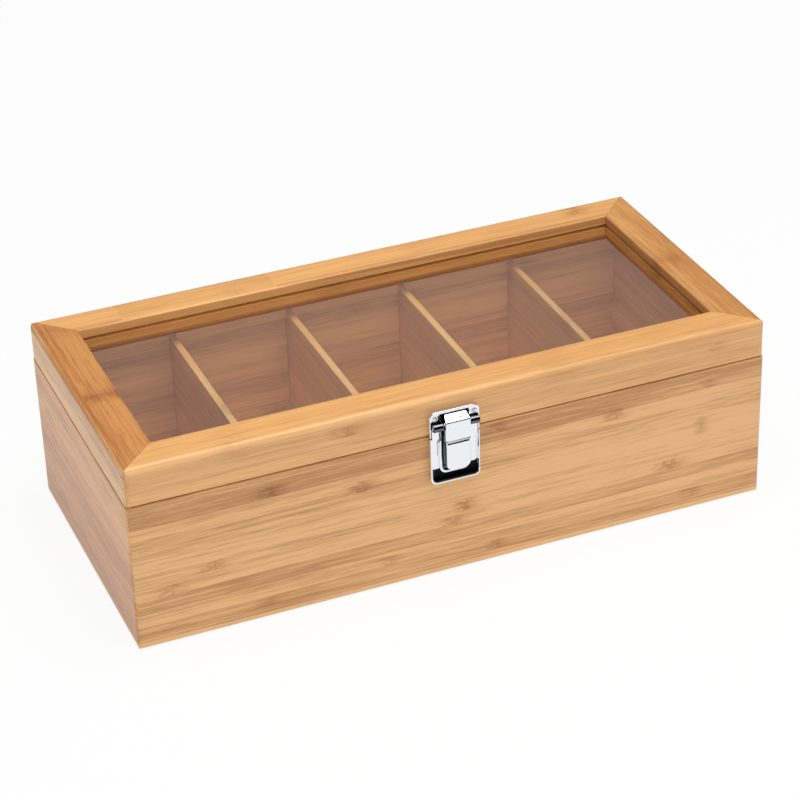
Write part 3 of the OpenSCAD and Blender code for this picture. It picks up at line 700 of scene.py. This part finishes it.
def model_keeper():
    hood = place_block("Hood", (-13.2, -3.0, 9.0), (13.2, 0, 14.2))
    pick("EDGE", lambda c, d: abs(d.y) > 0.9 and c.z > 14)
    soften(3, 8)
    pick("FACE", lambda c, n: n.z < -0.9 or n.y > 0.9)
    bpy.ops.mesh.delete(type="FACE")
    pick("EDGE", lambda c, d: c.y < -2.99 and c.z > 9.01)
    soften(0.3, 3)
    cut_all((-7.6, 0, 9.0), (1, 0, 0.24))
    cut_all((7.6, 0, 9.0), (-1, 0, 0.24))
    cut_all((0, 0, 13.0), (0, 0, 1))
    pick("FACE", lambda c, n: n.y < -0.99 and c.z < 13.0 and abs(c.x) < 7.6 - 0.24 * (c.z - 9.0))
    push(y=0.5)
    stretch(0.90, 1, 0.90, (0, 0, 9))
    push(y=1.6)
    pick("FACE", lambda c, n: abs(n.z) > 0.99 and abs(c.z - 9) < 0.01)
    bpy.ops.mesh.delete(type="FACE")
    # Painted shade: the hood's recess takes the near-black chrome
    pick("FACE", lambda c, n: abs(c.x) < 7.4 and c.y > -2.95 and c.z < 13.0)
    hood.data.materials.append(chrome)
    hood.data.materials.append(painted_shade_chrome)
    hood.active_material_index = 1
    bpy.ops.object.material_slot_assign()
    finish_shape(hood, sheet=0.5)

    plate = place_block("Plate", (-13.2, -0.8, 0.25), (13.2, 0, 9.6))
    cut_all((-12.4, 0, 0), (1, 0, 0))
    cut_all((12.4, 0, 0), (1, 0, 0))
    pick("FACE", lambda c, n: n.y < -0.9 and abs(c.x) > 12.4)
    push(y=-2.2)
    # Painted shade: the plate's front between its raised ends takes the near-black chrome, for the dark gap under the
    # hood
    plate.data.materials.append(chrome)
    plate.data.materials.append(painted_shade_chrome)
    pick("FACE", lambda c, n: n.y < -0.9 and abs(c.x) < 12.4)
    plate.active_material_index = 1
    bpy.ops.object.material_slot_assign()
    finish_shape(plate, edge=0.25)

    lip = place_block("Lip", (-4.5, -2.6, 9.4), (4.5, -0.3, 10.2))
    finish_shape(lip, edge=0.25)

    rings = []
    for hand in (-1, 1):
        bpy.ops.object.select_all(action="DESELECT")
        bpy.ops.mesh.primitive_torus_add(major_segments=32, minor_segments=10, major_radius=1.45 * MM,
                                         minor_radius=0.22 * MM, rotation=(QUARTER, 0, 0),
                                         location=Vector((hand * NAIL_SIDE, -2.98, NAIL_UP)) * MM)
        rings.append(finish_shape(start_shaping("Ring")))
    keeper = join_up([hood, plate, lip, *rings], "latch_keeper_pressed")
    settle(keeper, "lid", "latch_keeper")


def model_nail(x, z, out):
    """A nail with a domed head that lies this far out from the wood."""
    shank, head, length = 0.6, 1.0, 7
    nail = place_rod("Nail", shank, length + out, (x, (length - out) / 2, z), sides=20, across=(QUARTER, 0, 0))
    pick("FACE", lambda c, n: n.y < -0.9)
    stretch(head / shank, 1, head / shank, (x, 0, z))
    push(y=-0.15)
    push(y=-0.22)
    stretch(0.80, 1, 0.80, (x, 0, z))
    push(y=-0.10)
    stretch(0.5, 1, 0.5, (x, 0, z))
    return finish_shape(nail)


def model_nails():
    pair = [model_nail(-NAIL_SIDE, NAIL_UP, 3.0), model_nail(NAIL_SIDE, NAIL_UP, 3.0)]
    settle(join_up(pair, "keeper_nails_domed"), "lid", "keeper_nails", [chrome])
    pair = [model_nail(0, -6.0, 0.8), model_nail(0, -13.5, 0.8)]
    settle(join_up(pair, "base_nails_domed"), "box", "base_nails", [chrome])


def model_lever():
    cup = place_block("Cup", (-6.5, -7.5, -17.2), (6.5, -2.3, -1.5))
    pick("EDGE", lambda c, d: abs(d.y) > 0.9 and c.z < -17)
    soften(3, 5)
    pick("FACE", lambda c, n: n.y < -0.9)
    bpy.ops.mesh.region_to_loop()
    soften(0.55, 3)
    cut_all((0, 0, -2.8), (0, 0, -1), drop_below=True)
    pick("FACE", lambda c, n: n.y > 0.9)
    bpy.ops.mesh.delete(type="FACE")
    finish_shape(cup, sheet=0.75)

    arm = place_block("Arm", (5.7, -6.5, -3.6), (6.5, -2.3, 8.6))
    pick("EDGE", lambda c, d: abs(d.x) > 0.9 and c.z > 8.5)
    soften(2.09, 8)
    finish_shape(arm, edge=0.15)
    ear = place_rod("Ear", 0.85, 0.8, (6.1, CLAW_PIN_OUT, CLAW_PIN_UP))
    finish_shape(ear, edge=0.12)
    web = place_block("Web", (5.7, -7.35, -3.6), (6.5, -5.8, -1.6))
    finish_shape(web, edge=0.1)
    halves = [arm, ear, web]
    halves += [copy_across(piece, "Other") for piece in (arm, ear, web)]
    lever = join_up([cup, *halves], "latch_lever_pressed")
    settle(lever, "lever", "latch_lever", [lever_chrome_painted_sides])


def model_claw():
    plate = place_block("Strip", (-6.5, -7.5, -0.55), (6.5, -7.4, 9.4))
    pick("FACE", lambda c, n: n.y > -0.9)
    bpy.ops.mesh.delete(type="FACE")
    pick("EDGE", lambda c, d: c.z > 9.3)
    push(y=4.1, z=2.95)
    stretch(5.5 / 6.5, 1, 1, (0, 0, 0))
    push(y=0.1, z=-1.6)
    pick("EDGE", lambda c, d: abs(c.z - 9.4) < 0.01)
    soften(0.2, 3)
    pick("EDGE", lambda c, d: abs(c.z - 12.35) < 0.01)
    soften(0.3, 3)

    face_out_towards_front(plate)
    finish_shape(plate, sheet=0.75)

    # The pressed oval ring in the sloping top
    slope = math.atan2(2.95, 4.1)
    bpy.ops.object.select_all(action="DESELECT")
    bpy.ops.mesh.primitive_torus_add(major_segments=40, minor_segments=10, major_radius=1.9 * MM,
                                     minor_radius=0.36 * MM, location=Vector((0, -5.5, 10.84)) * MM,
                                     rotation=(slope, 0, 0))
    bpy.context.object.scale = (1.1, 0.42, 0.8)
    ring = finish_shape(start_shaping("Ring"))
    # Painted shade: the pressed oval ring is near-black chrome
    ring.data.materials.append(painted_shade_chrome)

    plate.data.materials.append(chrome)
    plate.data.materials.append(satin_chrome)
    barrel = place_rod("Barrel", 0.82, 11.0, (0, CLAW_PIN_OUT, CLAW_PIN_UP))
    pick("FACE", lambda c, n: abs(n.x) > 0.9)
    bpy.ops.mesh.delete(type="FACE")
    finish_shape(barrel, sheet=0.37, edge=0.1)
    barrel.data.materials.append(satin_chrome)
    web = place_block("Web", (-5.5, -7.3, -1.0), (5.5, -6.5, -0.3))
    finish_shape(web, edge=0.05)
    web.data.materials.append(satin_chrome)
    claw = join_up([plate, ring, barrel, web], "latch_claw_bent")
    settle(claw, "claw", "latch_claw")


# Painted shade: a near-black chrome for recesses, slopes and plates that show only shade and the dark room's
# reflection
painted_shade_chrome = metal("Chrome with painted shade", (0.035, 0.035, 0.042, 1), 0.12)
shaded_chrome = metal("Knuckle chrome", (0.14, 0.14, 0.155, 1), 0.10)
satin_chrome = metal("Satin chrome", (0.80, 0.80, 0.82, 1), 0.34)
# Painted shade: the lever's chrome goes near-black on its left and right faces
lever_chrome_painted_sides = metal("Lever chrome with painted shade", POLISHED, 0.05)
paint_shade_on_sides(lever_chrome_painted_sides)
model_latch_base()
model_keeper()
model_nails()
model_lever()
model_claw()


# Floor, lamps and surroundings

def lay_floor():
    bpy.ops.object.select_all(action="DESELECT")
    bpy.ops.mesh.primitive_plane_add(size=12)
    floor = bpy.context.object
    floor.name = "Floor"
    mat = bpy.data.materials.new("Floor white")
    mat.use_nodes = True
    t = mat.node_tree
    shader = t.nodes["Principled BSDF"]
    shader.inputs["Base Color"].default_value = (0.95, 0.95, 0.95, 1)
    shader.inputs["Roughness"].default_value = 0.9
    shader.inputs["Specular IOR Level"].default_value = 0.0
    path = t.nodes.new("ShaderNodeLightPath")
    glow = t.nodes.new("ShaderNodeEmission")
    either = t.nodes.new("ShaderNodeMixShader")
    seen = calc(t, "MAXIMUM", path.outputs["Is Camera Ray"], path.outputs["Is Transmission Ray"])
    where = t.nodes.new("ShaderNodeTexCoord")
    far = t.nodes.new("ShaderNodeVectorMath")
    far.operation = "LENGTH"
    t.links.new(where.outputs["Object"], far.inputs[0])
    table = ease(t, far.outputs["Value"], 0.70, 0.55)
    t.links.new(calc(t, "MAXIMUM", seen, table), glow.inputs["Strength"])
    seen = calc(t, "MAXIMUM", seen, path.outputs["Is Glossy Ray"])
    t.links.new(calc(t, "MULTIPLY", seen, 0.90), either.inputs[0])
    t.links.new(shader.outputs[0], either.inputs[1])
    t.links.new(glow.outputs[0], either.inputs[2])
    t.links.new(either.outputs[0], t.nodes["Material Output"].inputs["Surface"])
    floor.data.materials.append(mat)


def hang_lamp(name, place, aim, size, power):
    data = bpy.data.lights.new(name, "AREA")
    data.shape = "RECTANGLE"
    data.size, data.size_y = size
    data.energy = power
    lamp = bpy.data.objects.new(name, data)
    bpy.context.scene.collection.objects.link(lamp)
    lamp.location = place
    lamp.rotation_euler = (Vector(place) - Vector(aim)).to_track_quat("Z", "Y").to_euler()
    return lamp


def light_studio():
    """Two soft lamps in a dim room. What shines sees a bright panel overhead and a dark room in front."""
    hang_lamp("Top lamp", (0.05, -0.25, 1.5), (0, 0, 0), (1.2, 1.0), 16)
    hang_lamp("Front lamp", (-0.2, -1.7, 1.0), (0, 0, 0.05), (1.4, 1.0), 3.6)
    world = bpy.data.worlds.new("Studio")
    bpy.context.scene.world = world
    world.use_nodes = True
    t = world.node_tree
    backdrop = t.nodes["Background"]
    where = t.nodes.new("ShaderNodeTexCoord")
    split = t.nodes.new("ShaderNodeSeparateXYZ")
    t.links.new(where.outputs["Generated"], split.inputs[0])
    y, z = split.outputs[1:]
    panel = ease(t, z, 0.82, 0.90, 0.02, 1.15)
    behind = calc(t, "MULTIPLY", ease(t, y, 0.0, 0.35, 0.0, 0.12), ease(t, z, 0.76, 0.62))
    room = calc(t, "ADD", panel, behind)
    path = t.nodes.new("ShaderNodeLightPath")
    shine = blend(t, path.outputs["Is Glossy Ray"], (0.36, 0.36, 0.36, 1), room)
    seen = calc(t, "MAXIMUM", path.outputs["Is Camera Ray"], path.outputs["Is Transmission Ray"])
    t.links.new(blend(t, seen, shine, (1, 1, 1, 1)), backdrop.inputs["Color"])


stand_camera()
lay_floor()
light_studio()
bpy.context.scene.view_settings.view_transform = "Standard"
